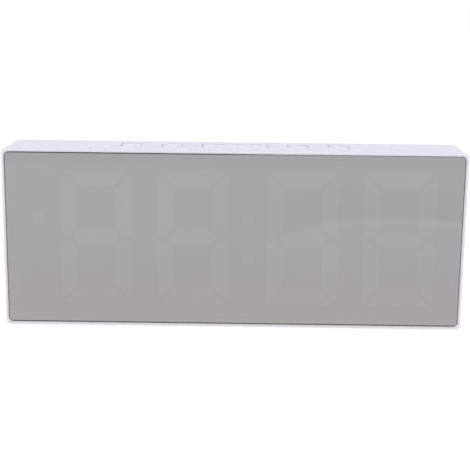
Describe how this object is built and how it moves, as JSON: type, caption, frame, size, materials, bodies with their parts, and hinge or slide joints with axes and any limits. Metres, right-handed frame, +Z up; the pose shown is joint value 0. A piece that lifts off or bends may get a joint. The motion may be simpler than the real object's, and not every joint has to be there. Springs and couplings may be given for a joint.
{
  "type": "digital led desk clock",
  "caption": "Slim desk clock with a half-mirror front over seven-segment digits, keys along its top, a battery bay and a power jack behind.",
  "frame": {"origin": "on the surface the clock stands on, under the middle of its box", "axes": "+X to the right seen from the mirror side, +Y from the mirror to the rear cover, +Z up"},
  "size_m": [0.165, 0.025, 0.0651],
  "materials": {
    "white_plastic": "satin, moulded, faintly cool white",
    "key_plastic": "satin, moulded, faintly cool white",
    "cover_plastic": "fine spark texture, faintly cool white",
    "half_mirror": "smooth grey half mirror",
    "black_tape": "double-sided foam tape",
    "dark_film": "printed dark film",
    "reflector_white": "white moulded reflector",
    "light_insert": "milky diffusing resin",
    "led_body": "light-emitting chip with a yellow phosphor",
    "circuit_board": "green lacquered laminate",
    "screw_steel": "zinc plated",
    "black_resin": "moulded epoxy",
    "tinned_metal": "tinned",
    "capacitor_can": "bare can",
    "black_plastic": "moulded",
    "plunger_plastic": "moulded",
    "nickel_contact": "nickel plated spring strip",
    "cell_jacket": "plain shrink jacket",
    "red_lead": "soft insulation",
    "black_lead": "soft insulation",
    "foot_rubber": "soft grey rubber"
  },
  "bodies": {
    "clock": {"housing": "white_plastic", "mirror_lens": "half_mirror", "lens_tape": "black_tape", "display_mask": "dark_film", "display_reflector": "reflector_white", "digit_1_segments": "light_insert", "digit_2_segments": "light_insert", "digit_3_segments": "light_insert", "digit_4_segments": "light_insert", "colon_dots": "light_insert", "indicator_dot": "light_insert", "led_chips": "led_body", "main_board": "circuit_board", "board_screws": "screw_steel", "driver_chip": "black_resin", "driver_chip_leads": "tinned_metal", "capacitor": "capacitor_can", "clock_crystal": "tinned_metal", "digit_transistors": "black_resin", "segment_resistors": "black_resin", "sounder": "black_plastic", "power_jack": "black_plastic", "power_jack_pin": "nickel_contact", "rear_cover": "cover_plastic", "cover_screws": "screw_steel", "battery_cell_1": "cell_jacket", "battery_cell_2": "cell_jacket", "battery_cell_3": "cell_jacket", "battery_contacts": "nickel_contact", "battery_lead_plus": "red_lead", "battery_lead_minus": "black_lead", "foot_front_left": "foot_rubber", "foot_front_right": "foot_rubber", "foot_rear_left": "foot_rubber", "foot_rear_right": "foot_rubber", "switch_far_left": "black_plastic", "switch_left": "black_plastic", "switch_snooze": "black_plastic", "switch_right": "black_plastic", "switch_far_right": "black_plastic"},
    "far_left_key": {"key_far_left": "key_plastic", "plunger_far_left": "plunger_plastic"},
    "left_key": {"key_left": "key_plastic", "plunger_left": "plunger_plastic"},
    "snooze_key": {"key_snooze": "key_plastic", "plunger_snooze": "plunger_plastic"},
    "right_key": {"key_right": "key_plastic", "plunger_right": "plunger_plastic"},
    "far_right_key": {"key_far_right": "key_plastic", "plunger_far_right": "plunger_plastic"},
    "door": {"battery_door": "cover_plastic"}
  },
  "joints": [
    {"name": "far_left_key_press", "type": "slide", "parent": "clock", "child": "far_left_key", "axis": [0, 0, -1], "range_m": [0, 0.0003], "stiffness_N_per_m": 4000, "springref_m": -0.00005},
    {"name": "left_key_press", "type": "slide", "parent": "clock", "child": "left_key", "axis": [0, 0, -1], "range_m": [0, 0.0003], "stiffness_N_per_m": 4000, "springref_m": -0.00005},
    {"name": "snooze_key_press", "type": "slide", "parent": "clock", "child": "snooze_key", "axis": [0, 0, -1], "range_m": [0, 0.0003], "stiffness_N_per_m": 4000, "springref_m": -0.00005},
    {"name": "right_key_press", "type": "slide", "parent": "clock", "child": "right_key", "axis": [0, 0, -1], "range_m": [0, 0.0003], "stiffness_N_per_m": 4000, "springref_m": -0.00005},
    {"name": "far_right_key_press", "type": "slide", "parent": "clock", "child": "far_right_key", "axis": [0, 0, -1], "range_m": [0, 0.0003], "stiffness_N_per_m": 4000, "springref_m": -0.00005},
    {"name": "battery_door_hinge", "type": "hinge", "parent": "clock", "child": "door", "pos_m": [-0.031, 0.0123, 0.0153], "axis": [-1, 0, 0], "range_deg": [0, 90]}
  ]
}
